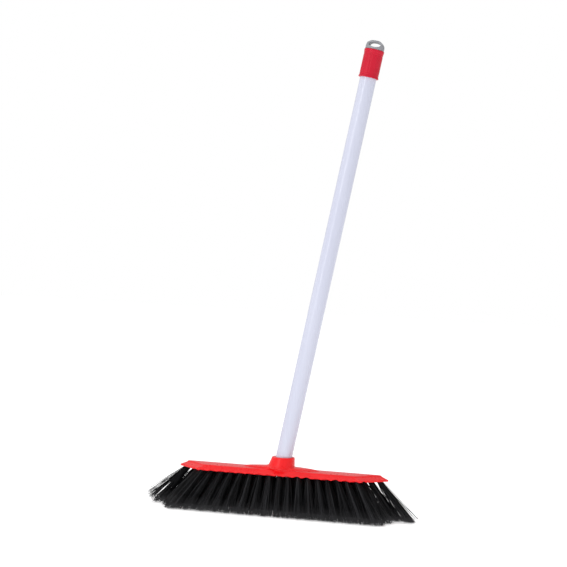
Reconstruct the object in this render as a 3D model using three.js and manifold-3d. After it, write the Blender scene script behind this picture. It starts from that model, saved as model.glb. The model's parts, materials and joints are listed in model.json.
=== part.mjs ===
// A household broom: a long moulded block with a leaning screw socket, three rows of fanned
// bristle tufts set in blind holes, and a tube handle with a threaded end, a grip and a hanging cap.
//
// Millimetres, +Z up. The origin is on the floor under the middle of the block, +X runs along the
// block towards the side that the handle leans to, and the short front edge of the block faces -Y.
import * as THREE from 'three';
import { mergeVertices } from 'three/addons/utils/BufferGeometryUtils.js';
import Module from 'manifold-3d';

const wasm = await Module();
wasm.setup();

// ---------------------------------------------------------------- driving dimensions

const SEAT_GAP = 0.3; // between two pieces that rest on or sit in each other

// Block, seen from above: a straight front edge, a longer back edge, and a point at each end.
const BLOCK_LENGTH = 329;
const BLOCK_WIDTH = 51;
const FRONT_CORNER_CUT = 39; // along X, from an end point to the front edge
const BACK_CORNER_CUT = 15; // along X, from an end point to the back edge
const END_POINT_SETBACK = 10; // along Y, from the back edge to an end point
const BLOCK_THICKNESS = 9.5;
const LIP_HEIGHT = 2;
const LIP_STEP = 0.8;
const SIDE_SLOPE = 5; // how far the long sides and the back corners lean in, from the lip to the top
const END_SLOPE = 9; // the same at the two slanting front ends
const EDGE_ROUNDING = 1.4;
const CROWN = 0.7; // rise of the top's middle above its rounded edge
const CROWN_LENGTH_SHARE = 0.9; // how much of the top the crown's flat middle takes along X
const CROWN_WIDTH_SHARE = 0.5; // and along Y
const FRONT_CORNER_RADIUS = 9;
const BACK_CORNER_RADIUS = 6;
const END_POINT_RADIUS = 1.2;
const TOP_ROUNDNESS = 0.5; // the top outline's corner radii as a share of the lip's

// Raised saddle round the socket.
const SADDLE_LENGTH = 118;
const SADDLE_WIDTH = 35;
const SADDLE_RISE = 3.4;
const SADDLE_POINT = 1.6; // power of the sine that bows the sides: higher is more pointed
const SADDLE_STEPS = [ // shares of the rise, length and width, from the foot to the top
  { rise: 0.2, length: 1, width: 1 },
  { rise: 0.75, length: 0.8, width: 0.88 },
  { rise: 1, length: 0.5, width: 0.7 },
];

// Leaning socket collar with a level rim.
const LEAN = 9.6; // degrees, towards +X
const COLLAR_HEIGHT = 18; // rim above the block's top
const COLLAR_WALL = 4.2; // at the rim, round the tube's seat
const COLLAR_FLARE = 2.8; // how much wider the collar is at its foot
const COLLAR_FILLET = 5;

// Screw thread between the socket and the handle's insert.
const THREAD_PITCH = 4;
const THREAD_CORE_RADIUS = 8.5;
const THREAD_CREST_RADIUS = 10.5;
const THREAD_ROOT_WIDTH = 2.4;
const THREAD_CREST_WIDTH = 1.4;
const THREAD_CLEARANCE = 0.4;
const SOCKET_FLOOR = 2; // least material left under the socket
const INSERT_BORE_RADIUS = 5;

// Handle tube.
const TUBE_RADIUS = 12.5;
const TUBE_WALL = 0.5;
const TUBE_SHOWING = 592; // between the collar's rim and the grip
const TUBE_SEAT_DEPTH = 5; // how far the tube's end sits below the rim, on the axis
const SOCKET_CLEARANCE = 0.4; // radial, round the tube in the collar
const FLANGE_THICKNESS = 1.5;
const INSERT_PLUG_LENGTH = 30;
const PLUG_CHAMFER = 1; // at the ends of the insert and of the cap's plug

// Grip sleeve.
const GRIP_LENGTH = 43;
const GRIP_WALL = 1.9;
const GRIP_LIP = 0.9; // how far the flared foot stands out
const GRIP_LIP_HEIGHT = 2.6;
const GRIP_BEAD = 0.5; // how far the bead at the head stands out
const GRIP_BEAD_HEIGHT = 4;
const GRIP_GROOVE_DEPTH = 0.7;
const GRIP_GROOVE_WIDTH = 1.2;
const GRIP_ROUNDING = 0.6;

// Hanging cap.
const CAP_OVERHANG = 1.9; // how far the cap stands out past the tube
const CAP_HEIGHT = 14.2; // above the grip
const CAP_RING_HEIGHT = 2.4;
const CAP_TOP_THICKNESS = 11; // front to back at the top of the arch
const CAP_SHOULDER_RADIUS = 12.2;
const CAP_TOP_ROUNDING = 2;
const CAP_PLUG_LENGTH = 22;
const EYE_WIDTH = 18;
const EYE_HEIGHT = 7.6;
const EYE_FLOOR = 3.1; // material under the eye

// Bristles.
const BRISTLE_HEIGHT = 62; // floor to the underside of the block
const BRISTLE_LENGTH = 80; // longest tuft outside its hole
const TUFT_ROOT_RADIUS = 3;
const TUFT_TIP_HALF_DEPTH = 9;
const TUFT_TIP_HALF_WIDTH = 9; // at most, where the fan leaves room for it
const TUFT_SPACING_GAP = 1.2; // between neighbours of a row, at the tips
const TUFT_HOLE_DEPTH = 5.5;
const TUFT_HOLE_OVERRUN = 1; // how far a hole's cutter runs out below the block
const FAN_ANGLE = 41; // lean of a tuft at the very end of the longest row
const FAN_POWER = 1.2; // how the lean grows from the middle to the end
const ROW_SPLAY = 9; // degrees the front and back rows lean away from the middle one
const ROW_MARGIN = 8.5; // from the front and back rows to the block's long edges
const SOCKET_WALL = 2; // least material between the socket and a tuft hole
const ROWS = [
  { name: 'front', side: -1, count: 17, endMargin: 44.5 },
  { name: 'middle', side: 0, count: 18, endMargin: 37 },
  { name: 'back', side: 1, count: 21, endMargin: 14.5 },
];

// Roundness of the faceted shapes.
const TUFT_SIDES = 10;
const ROUND_SEGMENTS = 40;
const THREAD_STEPS = 20; // per turn
const CORNER_STEPS = 5;
const CURVE_STEPS = 10; // per curve of an extruded outline
const WELD_TOLERANCE = 1e-4;

// ---------------------------------------------------------------- places worked out from them

const rad = THREE.MathUtils.degToRad;
const BLOCK_TOP = BRISTLE_HEIGHT + BLOCK_THICKNESS;
const RIM_Z = BLOCK_TOP + COLLAR_HEIGHT;

// Radii round the handle's axis.
const BORE_RADIUS = TUBE_RADIUS - TUBE_WALL;
const PLUG_RADIUS = BORE_RADIUS - SEAT_GAP;
const SEAT_RADIUS = TUBE_RADIUS + SOCKET_CLEARANCE;
const GROOVE_RADIUS = THREAD_CREST_RADIUS + THREAD_CLEARANCE;
const COLLAR_RIM_RADIUS = SEAT_RADIUS + COLLAR_WALL;
const COLLAR_BASE_RADIUS = COLLAR_RIM_RADIUS + COLLAR_FLARE;
const GRIP_BORE_RADIUS = TUBE_RADIUS + SEAT_GAP;
const GRIP_RADIUS = GRIP_BORE_RADIUS + GRIP_WALL;
const GRIP_LIP_RADIUS = GRIP_RADIUS + GRIP_LIP;
const GRIP_BEAD_RADIUS = GRIP_RADIUS + GRIP_BEAD;
const CAP_RADIUS = TUBE_RADIUS + CAP_OVERHANG;

// Along the handle's own axis, 0 is where the axis crosses the block's top.
const RIM = COLLAR_HEIGHT / Math.cos(rad(LEAN));
const TUBE_FOOT = RIM - TUBE_SEAT_DEPTH;
const FLANGE_TOP = TUBE_FOOT - SEAT_GAP;
const FLANGE_FOOT = FLANGE_TOP - FLANGE_THICKNESS;
const SOCKET_SHELF = FLANGE_FOOT - SEAT_GAP;
const GRIP_FOOT = RIM + TUBE_SHOWING;
const TUBE_HEAD = GRIP_FOOT + GRIP_LENGTH;
const CAP_FOOT = TUBE_HEAD + SEAT_GAP;
const SOCKET_END = (SOCKET_FLOOR - BLOCK_THICKNESS + GROOVE_RADIUS * Math.sin(rad(LEAN)))
  / Math.cos(rad(LEAN));
const INSERT_END = SOCKET_END + THREAD_CLEARANCE;

// ---------------------------------------------------------------- materials

const plastic = (color, roughness) => new THREE.MeshStandardMaterial({ color, roughness, metalness: 0 });
const RED = plastic('#e9383f', 0.38);
const GRIP_RED = plastic('#cf2d40', 0.5);
const BLACK = plastic('#101012', 0.55);
const GREY = plastic('#8d8f96', 0.5);
const WHITE = plastic('#e8e6df', 0.5);
const TUBE_COAT = new THREE.MeshStandardMaterial({ color: '#d9dcea', roughness: 0.25, metalness: 0.1 });

// ---------------------------------------------------------------- shape helpers

// A closed solid through level rings of equal point counts, listed from the lowest to the highest,
// each running anticlockwise seen from above.
function loft(rings) {
  const n = rings[0].length;
  const index = [];
  for (let k = 0; k < rings.length - 1; k++) {
    for (let i = 0; i < n; i++) {
      const [a, b] = [k * n + i, k * n + (i + 1) % n];
      index.push(a, b, b + n, a, b + n, a + n);
    }
  }
  const flat = (ring) => ring.map((p) => new THREE.Vector2(p.x, p.y));
  const top = (rings.length - 1) * n;
  for (const [a, b, c] of THREE.ShapeUtils.triangulateShape(flat(rings[0]), [])) index.push(a, c, b);
  for (const [a, b, c] of THREE.ShapeUtils.triangulateShape(flat(rings.at(-1)), [])) {
    index.push(top + a, top + b, top + c);
  }
  return new THREE.BufferGeometry().setFromPoints(rings.flat()).setIndex(index);
}

// A solid turned about Z from [radius, height] corners that run from the foot to the head.
function turned(corners) {
  const profile = corners.map(([r, z]) => new THREE.Vector2(r, z));
  return new THREE.LatheGeometry(profile, ROUND_SEGMENTS).rotateX(Math.PI / 2);
}

// A plate drawn in X and Z and extruded through its full depth along Y.
function plateXZ(shape, depth) {
  const settings = { depth, bevelEnabled: false, curveSegments: CURVE_STEPS };
  const plate = new THREE.ExtrudeGeometry(shape, settings);
  return plate.rotateX(Math.PI / 2).translate(0, depth / 2, 0);
}

// The same for a plate drawn in Y and Z and extruded along X.
function plateYZ(shape, depth) {
  return plateXZ(shape, depth).rotateZ(Math.PI / 2);
}

// A right-hand screw ridge about Z, from height z0 to z1, from inside the core to the crest.
function screwRidge(innerRadius, crestRadius, footWidth, crestWidth, z0, z1) {
  const section = [
    [innerRadius, -footWidth / 2],
    [crestRadius, -crestWidth / 2],
    [crestRadius, crestWidth / 2],
    [innerRadius, footWidth / 2],
  ];
  const steps = Math.round(THREAD_STEPS * (z1 - z0) / THREAD_PITCH);
  const points = [];
  const index = [];
  for (let k = 0; k <= steps; k++) {
    const turn = 2 * Math.PI * k / THREAD_STEPS;
    const rise = z0 + THREAD_PITCH * k / THREAD_STEPS;
    for (const [r, z] of section) {
      points.push(new THREE.Vector3(r * Math.cos(turn), r * Math.sin(turn), rise + z));
    }
  }
  for (let k = 0; k < steps; k++) {
    for (let i = 0; i < 4; i++) {
      const [a, b] = [4 * k + i, 4 * k + (i + 1) % 4];
      index.push(a, b + 4, b, a, a + 4, b + 4);
    }
  }
  const end = 4 * steps;
  index.push(0, 1, 2, 0, 2, 3, end, end + 2, end + 1, end, end + 3, end + 2);
  return new THREE.BufferGeometry().setFromPoints(points).setIndex(index);
}

// From a three.js geometry to a manifold solid, and back.
function toSolid(geometry) {
  const bare = new THREE.BufferGeometry().setAttribute('position', geometry.getAttribute('position'));
  if (geometry.index) bare.setIndex(geometry.index);
  const merged = mergeVertices(bare, WELD_TOLERANCE);
  const mesh = new wasm.Mesh({
    numProp: 3,
    vertProperties: new Float32Array(merged.attributes.position.array),
    triVerts: new Uint32Array(merged.index.array),
  });
  return new wasm.Manifold(mesh);
}

function toGeometry(solid) {
  const mesh = solid.getMesh();
  const geometry = new THREE.BufferGeometry();
  geometry.setAttribute('position', new THREE.BufferAttribute(mesh.vertProperties, 3));
  geometry.setIndex(new THREE.BufferAttribute(mesh.triVerts, 1));
  geometry.computeVertexNormals();
  return geometry;
}

function named(name, geometry, material) {
  const mesh = new THREE.Mesh(geometry, material);
  mesh.name = name;
  return mesh;
}

// ---------------------------------------------------------------- the handle's leaning frame

const handleFrame = new THREE.Group();
handleFrame.position.z = BLOCK_TOP;
handleFrame.rotation.y = rad(LEAN);
handleFrame.updateMatrix();

// ---------------------------------------------------------------- tufts

const rowSpan = (row) => BLOCK_LENGTH - 2 * row.endMargin;
const ROW_REACH = Math.max(...ROWS.map(rowSpan)) / 2;

// The lean along X of a tuft rooted at x, in radians.
const fanLean = (x) => Math.sign(x) * rad(FAN_ANGLE) * Math.abs(x / ROW_REACH) ** FAN_POWER;

// Where each tuft of a row comes out of the block. The outer rows bow out round the socket where
// they have to, and the middle row skips it.
function tuftsOf(row) {
  const tufts = [];
  const keepOut = GROOVE_RADIUS + SOCKET_WALL + TUFT_ROOT_RADIUS;
  for (let i = 0; i < row.count; i++) {
    const x = rowSpan(row) * (i / (row.count - 1) - 0.5);
    if (row.side === 0 && Math.abs(x) < keepOut) continue;
    const bow = Math.sqrt(Math.max(0, keepOut ** 2 - x ** 2));
    const y = row.side * Math.max(BLOCK_WIDTH / 2 - ROW_MARGIN, bow);
    const lean = fanLean(x);
    const tipZ = Math.max(0, BRISTLE_HEIGHT - BRISTLE_LENGTH * Math.cos(lean));
    const splay = row.side * Math.tan(rad(ROW_SPLAY));
    tufts.push({ x, y, lean, tipZ, splay });
  }
  return tufts.map((tuft, i) => ({ ...tuft, name: `tuft_${row.name}_${String(i + 1).padStart(2, '0')}` }));
}

// The middle of a tuft at height z.
function tuftAxis(tuft, z) {
  const drop = BRISTLE_HEIGHT - z;
  return [tuft.x + drop * Math.tan(tuft.lean), tuft.y + drop * tuft.splay];
}

function tuftRing(tuft, z, halfWidth, halfDepth) {
  const [cx, cy] = tuftAxis(tuft, z);
  return Array.from({ length: TUFT_SIDES }, (_, k) => {
    const a = 2 * Math.PI * (k + 0.5) / TUFT_SIDES;
    return new THREE.Vector3(cx + halfWidth * Math.cos(a), cy + halfDepth * Math.sin(a), z);
  });
}

// A tuft: a round root in its hole, opening to a wide trimmed end that stops short of its neighbours.
function tuftGeometry(tuft, row) {
  const tipX = tuftAxis(tuft, tuft.tipZ)[0];
  const spacings = row.filter((other) => other !== tuft)
    .map((other) => Math.abs(tuftAxis(other, tuft.tipZ)[0] - tipX));
  const widest = Math.min(TUFT_TIP_HALF_WIDTH, (Math.min(...spacings) - TUFT_SPACING_GAP) / 2);
  const rootHalfWidth = TUFT_ROOT_RADIUS / Math.cos(tuft.lean);
  const rootTop = BRISTLE_HEIGHT + TUFT_HOLE_DEPTH - SEAT_GAP;
  return loft([
    tuftRing(tuft, tuft.tipZ, widest, TUFT_TIP_HALF_DEPTH),
    tuftRing(tuft, BRISTLE_HEIGHT, rootHalfWidth, TUFT_ROOT_RADIUS),
    tuftRing(tuft, rootTop, rootHalfWidth, TUFT_ROOT_RADIUS),
  ]);
}

// The hole that a tuft's root sits in, run out below the underside.
function tuftHole(tuft) {
  const radius = TUFT_ROOT_RADIUS + SEAT_GAP;
  const halfWidth = radius / Math.cos(tuft.lean);
  return loft([
    tuftRing(tuft, BRISTLE_HEIGHT - TUFT_HOLE_OVERRUN, halfWidth, radius),
    tuftRing(tuft, BRISTLE_HEIGHT + TUFT_HOLE_DEPTH, halfWidth, radius),
  ]);
}

const rows = ROWS.map(tuftsOf);

// ---------------------------------------------------------------- block

// The block's outline at height z, with its two front ends moved in by end and the other edges by
// side, and its corner radii multiplied by roundness.
function blockRing(z, side, end, roundness = 1) {
  const [halfLength, halfWidth] = [BLOCK_LENGTH / 2, BLOCK_WIDTH / 2];
  const [frontX, backX] = [halfLength - FRONT_CORNER_CUT, halfLength - BACK_CORNER_CUT];
  const endY = halfWidth - END_POINT_SETBACK;
  const corners = [
    [-frontX, -halfWidth, FRONT_CORNER_RADIUS],
    [frontX, -halfWidth, FRONT_CORNER_RADIUS],
    [halfLength, endY, END_POINT_RADIUS],
    [backX, halfWidth, BACK_CORNER_RADIUS],
    [-backX, halfWidth, BACK_CORNER_RADIUS],
    [-halfLength, endY, END_POINT_RADIUS],
  ];
  const insets = [side, end, side, side, side, end]; // of the edge that leaves each corner
  const edges = corners.map(([x, y], i) => {
    const [nx, ny] = corners[(i + 1) % corners.length];
    const along = new THREE.Vector2(nx - x, ny - y).normalize();
    const inward = new THREE.Vector2(-along.y, along.x);
    return { along, start: new THREE.Vector2(x, y).addScaledVector(inward, insets[i]) };
  });
  return corners.flatMap(([, , radius], i) => {
    const before = edges[(i + corners.length - 1) % corners.length];
    return roundCorner(before, edges[i], roundness * radius).map((p) => new THREE.Vector3(p.x, p.y, z));
  });
}

// The points of an arc that rounds the corner where one edge line meets the next.
function roundCorner(before, after, radius) {
  const gap = after.start.clone().sub(before.start);
  const turn = before.along.cross(after.along);
  const corner = before.start.clone().addScaledVector(before.along, gap.cross(after.along) / turn);
  const angle = Math.atan2(turn, before.along.dot(after.along));
  const cut = radius * Math.tan(angle / 2);
  const from = corner.clone().addScaledVector(before.along, -cut);
  const inward = new THREE.Vector2(-before.along.y, before.along.x);
  const centre = from.clone().addScaledVector(inward, radius);
  const startAngle = Math.atan2(-before.along.x, before.along.y);
  return Array.from({ length: CORNER_STEPS + 1 }, (_, k) => {
    const a = startAngle + angle * k / CORNER_STEPS;
    return new THREE.Vector2(centre.x + radius * Math.cos(a), centre.y + radius * Math.sin(a));
  });
}

function blockBody() {
  const lipTop = BRISTLE_HEIGHT + LIP_HEIGHT;
  const shoulder = BLOCK_TOP - CROWN;
  const rounded = blockRing(shoulder, SIDE_SLOPE + EDGE_ROUNDING, END_SLOPE + EDGE_ROUNDING, TOP_ROUNDNESS);
  const crown = rounded.map((p) => (
    new THREE.Vector3(CROWN_LENGTH_SHARE * p.x, CROWN_WIDTH_SHARE * p.y, BLOCK_TOP)));
  return loft([
    blockRing(BRISTLE_HEIGHT, 0, 0),
    blockRing(lipTop, 0, 0),
    blockRing(lipTop + LIP_STEP / 2, LIP_STEP, LIP_STEP),
    blockRing(shoulder - EDGE_ROUNDING, SIDE_SLOPE, END_SLOPE, TOP_ROUNDNESS),
    rounded,
    crown,
  ]);
}

// One level outline of the saddle: two bowed sides that meet in a point at each end.
function saddleRing(z, halfLength, halfWidth) {
  return Array.from({ length: ROUND_SEGMENTS }, (_, k) => {
    const a = 2 * Math.PI * k / ROUND_SEGMENTS;
    const bow = Math.sign(Math.sin(a)) * Math.abs(Math.sin(a)) ** SADDLE_POINT;
    return new THREE.Vector3(halfLength * Math.cos(a), halfWidth * bow, z);
  });
}

function saddle() {
  const [halfLength, halfWidth] = [SADDLE_LENGTH / 2, SADDLE_WIDTH / 2];
  const steps = SADDLE_STEPS.map(({ rise, length, width }) => (
    saddleRing(BLOCK_TOP + rise * SADDLE_RISE, length * halfLength, width * halfWidth)));
  return loft([saddleRing(BLOCK_TOP - 2 * CROWN, halfLength, halfWidth), ...steps]);
}

// The collar as turned, before its rim is cut level: a concave foot fillet, then a straight taper.
function collar() {
  const foot = Array.from({ length: CORNER_STEPS + 1 }, (_, k) => {
    const a = Math.PI / 2 * k / CORNER_STEPS;
    return [COLLAR_BASE_RADIUS + COLLAR_FILLET * (1 - Math.sin(a)), COLLAR_FILLET * (1 - Math.cos(a))];
  });
  const spare = 1.5 * COLLAR_RIM_RADIUS * Math.tan(rad(LEAN));
  const taper = (COLLAR_BASE_RADIUS - COLLAR_RIM_RADIUS) / (RIM - COLLAR_FILLET);
  return turned([
    [0, -CROWN],
    [COLLAR_BASE_RADIUS + COLLAR_FILLET, -CROWN],
    ...foot,
    [COLLAR_RIM_RADIUS - taper * spare, RIM + spare],
    [0, RIM + spare],
  ]);
}

// Everything above the level rim.
function aboveRim() {
  const size = 6 * COLLAR_RIM_RADIUS;
  return new THREE.BoxGeometry(size, size, size).translate(0, 0, RIM_Z + size / 2);
}

// The socket's bore: a wide seat for the tube and the insert's flange, then the threaded core hole.
function socketBore() {
  const core = THREAD_CORE_RADIUS + THREAD_CLEARANCE;
  return turned([
    [0, SOCKET_END],
    [core, SOCKET_END],
    [core, SOCKET_SHELF],
    [SEAT_RADIUS, SOCKET_SHELF],
    [SEAT_RADIUS, 2 * RIM],
    [0, 2 * RIM],
  ]);
}

function socketThread() {
  const halfFoot = THREAD_ROOT_WIDTH / 2 + THREAD_CLEARANCE;
  return screwRidge(
    THREAD_CORE_RADIUS - THREAD_CLEARANCE,
    GROOVE_RADIUS,
    2 * halfFoot,
    THREAD_CREST_WIDTH + 2 * THREAD_CLEARANCE,
    INSERT_END + THREAD_ROOT_WIDTH / 2,
    SOCKET_SHELF + THREAD_PITCH / 2,
  );
}

function brushBlock() {
  const leaning = (geometry) => toSolid(geometry.applyMatrix4(handleFrame.matrix));
  let block = toSolid(blockBody())
    .add(toSolid(saddle()))
    .add(leaning(collar()))
    .subtract(toSolid(aboveRim()))
    .subtract(leaning(socketBore()))
    .subtract(leaning(socketThread()));
  for (const tuft of rows.flat()) block = block.subtract(toSolid(tuftHole(tuft)));
  return toGeometry(block);
}

// ---------------------------------------------------------------- handle pieces, along their own axis

// A moulded insert: a screw below a flange, and a plug above it inside the tube.
function threadInsert() {
  const body = turned([
    [INSERT_BORE_RADIUS, INSERT_END],
    [THREAD_CORE_RADIUS - PLUG_CHAMFER, INSERT_END],
    [THREAD_CORE_RADIUS, INSERT_END + PLUG_CHAMFER],
    [THREAD_CORE_RADIUS, FLANGE_FOOT],
    [TUBE_RADIUS, FLANGE_FOOT],
    [TUBE_RADIUS, FLANGE_TOP],
    [PLUG_RADIUS, FLANGE_TOP],
    [PLUG_RADIUS, FLANGE_TOP + INSERT_PLUG_LENGTH - PLUG_CHAMFER],
    [PLUG_RADIUS - PLUG_CHAMFER, FLANGE_TOP + INSERT_PLUG_LENGTH],
    [INSERT_BORE_RADIUS, FLANGE_TOP + INSERT_PLUG_LENGTH],
    [INSERT_BORE_RADIUS, INSERT_END],
  ]);
  const ridge = screwRidge(
    THREAD_CORE_RADIUS - THREAD_CLEARANCE,
    THREAD_CREST_RADIUS,
    THREAD_ROOT_WIDTH,
    THREAD_CREST_WIDTH,
    INSERT_END + THREAD_ROOT_WIDTH / 2 + THREAD_PITCH,
    FLANGE_FOOT,
  );
  return toGeometry(toSolid(body).add(toSolid(ridge)));
}

function handleTube() {
  return turned([
    [BORE_RADIUS, TUBE_FOOT],
    [TUBE_RADIUS, TUBE_FOOT],
    [TUBE_RADIUS, TUBE_HEAD],
    [BORE_RADIUS, TUBE_HEAD],
    [BORE_RADIUS, TUBE_FOOT],
  ]);
}

// A sleeve with a flared foot, a beaded head and a ring groove inside each of them.
function gripSleeve() {
  const groove = (z) => [
    [GRIP_RADIUS, z],
    [GRIP_RADIUS - GRIP_GROOVE_DEPTH, z],
    [GRIP_RADIUS - GRIP_GROOVE_DEPTH, z + GRIP_GROOVE_WIDTH],
    [GRIP_RADIUS, z + GRIP_GROOVE_WIDTH],
  ];
  const bead = TUBE_HEAD - GRIP_BEAD_HEIGHT;
  return turned([
    [GRIP_BORE_RADIUS, GRIP_FOOT],
    [GRIP_LIP_RADIUS - GRIP_ROUNDING, GRIP_FOOT],
    [GRIP_LIP_RADIUS, GRIP_FOOT + GRIP_ROUNDING],
    [GRIP_LIP_RADIUS - GRIP_ROUNDING, GRIP_FOOT + GRIP_LIP_HEIGHT],
    ...groove(GRIP_FOOT + GRIP_LIP_HEIGHT + GRIP_GROOVE_WIDTH),
    ...groove(bead - 2 * GRIP_GROOVE_WIDTH),
    [GRIP_RADIUS, bead],
    [GRIP_BEAD_RADIUS, bead + GRIP_ROUNDING],
    [GRIP_BEAD_RADIUS, TUBE_HEAD - GRIP_ROUNDING],
    [GRIP_BEAD_RADIUS - GRIP_ROUNDING, TUBE_HEAD],
    [GRIP_BORE_RADIUS, TUBE_HEAD],
    [GRIP_BORE_RADIUS, GRIP_FOOT],
  ]);
}

// The arch of the hanging cap seen from the front.
function archShape() {
  const [r, h, s] = [CAP_RADIUS, CAP_HEIGHT, CAP_SHOULDER_RADIUS];
  const shape = new THREE.Shape();
  shape.moveTo(-r, 0);
  shape.lineTo(r, 0);
  shape.lineTo(r, h - s);
  shape.absarc(r - s, h - s, s, 0, Math.PI / 2);
  shape.lineTo(s - r, h);
  shape.absarc(s - r, h - s, s, Math.PI / 2, Math.PI);
  return shape;
}

// The same arch seen from the side: as deep as the ring at its foot, thinner at its top.
function archSide() {
  const [r, t, c] = [CAP_RADIUS, CAP_TOP_THICKNESS / 2, CAP_TOP_ROUNDING];
  const shape = new THREE.Shape();
  shape.moveTo(-r, 0);
  shape.lineTo(r, 0);
  shape.lineTo(r, CAP_RING_HEIGHT);
  shape.lineTo(t, CAP_HEIGHT - c);
  shape.absarc(t - c, CAP_HEIGHT - c, c, 0, Math.PI / 2);
  shape.absarc(c - t, CAP_HEIGHT - c, c, Math.PI / 2, Math.PI);
  shape.lineTo(-r, CAP_RING_HEIGHT);
  return shape;
}

// A flat oval hole through the cap, front to back.
function eyeShape() {
  const shape = new THREE.Shape();
  shape.absellipse(0, EYE_FLOOR + EYE_HEIGHT / 2, EYE_WIDTH / 2, EYE_HEIGHT / 2, 0, 2 * Math.PI);
  return shape;
}

function hangCap() {
  const stem = turned([
    [0, -CAP_PLUG_LENGTH],
    [PLUG_RADIUS - PLUG_CHAMFER, -CAP_PLUG_LENGTH],
    [PLUG_RADIUS, PLUG_CHAMFER - CAP_PLUG_LENGTH],
    [PLUG_RADIUS, 0],
    [CAP_RADIUS, 0],
    [CAP_RADIUS, CAP_RING_HEIGHT],
    [0, CAP_RING_HEIGHT],
  ]);
  const round = turned([
    [0, CAP_RING_HEIGHT / 2],
    [CAP_RADIUS, CAP_RING_HEIGHT / 2],
    [CAP_RADIUS, CAP_HEIGHT],
    [0, CAP_HEIGHT],
  ]);
  const depth = 4 * CAP_RADIUS;
  const arch = toSolid(plateXZ(archShape(), depth))
    .intersect(toSolid(plateYZ(archSide(), depth)))
    .intersect(toSolid(round));
  const cap = toSolid(stem).add(arch).subtract(toSolid(plateXZ(eyeShape(), depth)));
  return toGeometry(cap).translate(0, 0, CAP_FOOT);
}

// ---------------------------------------------------------------- assembly

const broom = new THREE.Group();
broom.add(named('brush_block', brushBlock(), RED));
for (const row of rows) {
  for (const tuft of row) broom.add(named(tuft.name, tuftGeometry(tuft, row), BLACK));
}

handleFrame.add(named('thread_insert', threadInsert(), WHITE));
handleFrame.add(named('handle_tube', handleTube(), TUBE_COAT));
handleFrame.add(named('grip_sleeve', gripSleeve(), GRIP_RED));
handleFrame.add(named('hang_cap', hangCap(), GREY));
broom.add(handleFrame);

export default broom;
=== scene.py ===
"""A household broom: red moulded block, fanned black bristles, coated tube handle, grip and hanging cap.

Metres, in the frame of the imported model: +Z up, the floor at 0, +X along the block towards the side
that the handle leans to, and the block's short front edge facing -Y.
"""

import json
import math

import bpy
import numpy as np
from mathutils import Matrix, Vector


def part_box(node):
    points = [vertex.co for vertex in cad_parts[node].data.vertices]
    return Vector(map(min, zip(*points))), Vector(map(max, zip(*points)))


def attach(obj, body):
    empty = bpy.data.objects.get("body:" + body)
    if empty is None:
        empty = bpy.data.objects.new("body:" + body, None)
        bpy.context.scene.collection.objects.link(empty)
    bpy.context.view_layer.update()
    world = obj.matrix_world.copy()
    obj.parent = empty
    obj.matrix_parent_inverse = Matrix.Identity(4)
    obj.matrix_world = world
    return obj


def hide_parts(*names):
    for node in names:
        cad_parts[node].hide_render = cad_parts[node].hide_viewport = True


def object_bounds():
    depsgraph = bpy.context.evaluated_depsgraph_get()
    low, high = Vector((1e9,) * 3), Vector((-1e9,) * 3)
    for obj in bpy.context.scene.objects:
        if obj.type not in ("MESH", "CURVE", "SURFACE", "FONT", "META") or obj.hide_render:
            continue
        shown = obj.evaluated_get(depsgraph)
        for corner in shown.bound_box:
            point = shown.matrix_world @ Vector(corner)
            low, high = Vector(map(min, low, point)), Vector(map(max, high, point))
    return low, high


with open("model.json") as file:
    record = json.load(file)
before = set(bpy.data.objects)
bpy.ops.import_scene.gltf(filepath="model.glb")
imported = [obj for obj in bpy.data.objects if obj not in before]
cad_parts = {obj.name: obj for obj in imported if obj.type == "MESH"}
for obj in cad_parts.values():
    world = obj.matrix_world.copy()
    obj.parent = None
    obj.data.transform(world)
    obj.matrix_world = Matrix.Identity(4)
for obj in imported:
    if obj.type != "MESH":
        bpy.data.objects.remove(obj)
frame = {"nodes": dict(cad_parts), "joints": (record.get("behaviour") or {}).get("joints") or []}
cad_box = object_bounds()
MM = 0.001

# ---------------------------------------------------------------- places read from the frame

lift = next(j for j in frame["joints"] if j["name"] == "handle_lift")
turn = next(j for j in frame["joints"] if j["name"] == "handle_turn")
AXIS = Vector(lift["axis"]).normalized()
PIVOT = Vector(turn["pos_m"])  # where the handle's axis crosses the block's top
LEAN = math.atan2(AXIS.x, AXIS.z)
HANDLE = Matrix.Translation(PIVOT) @ Matrix.Rotation(LEAN, 4, "Y")

BLOCK_LOW, BLOCK_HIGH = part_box("brush_block")
UNDERSIDE = BLOCK_LOW.z
BLOCK_TOP = PIVOT.z
RIM_Z = BLOCK_HIGH.z


def node_points(node):
    """A CAD node's vertices."""
    return np.array([v.co for v in frame["nodes"][node].data.vertices], float)


def along_handle(node):
    """A CAD node's foot, head and largest radius, measured along and round the handle's axis."""
    back = np.array(HANDLE.inverted())
    local = node_points(node) @ back[:3, :3].T + back[:3, 3]
    radius = np.hypot(local[:, 0], local[:, 1]).max()
    return local[:, 2].min(), local[:, 2].max(), radius


TUBE_FOOT, TUBE_HEAD, TUBE_RADIUS = along_handle("handle_tube")
INSERT_FOOT, INSERT_HEAD, FLANGE_RADIUS = along_handle("thread_insert")
GRIP_FOOT, GRIP_HEAD, GRIP_LIP_RADIUS = along_handle("grip_sleeve")
PLUG_FOOT, CAP_HEAD, CAP_RADIUS = along_handle("hang_cap")
RIM = (RIM_Z - BLOCK_TOP) / math.cos(LEAN)

# ---------------------------------------------------------------- sizes of the finished shapes

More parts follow.
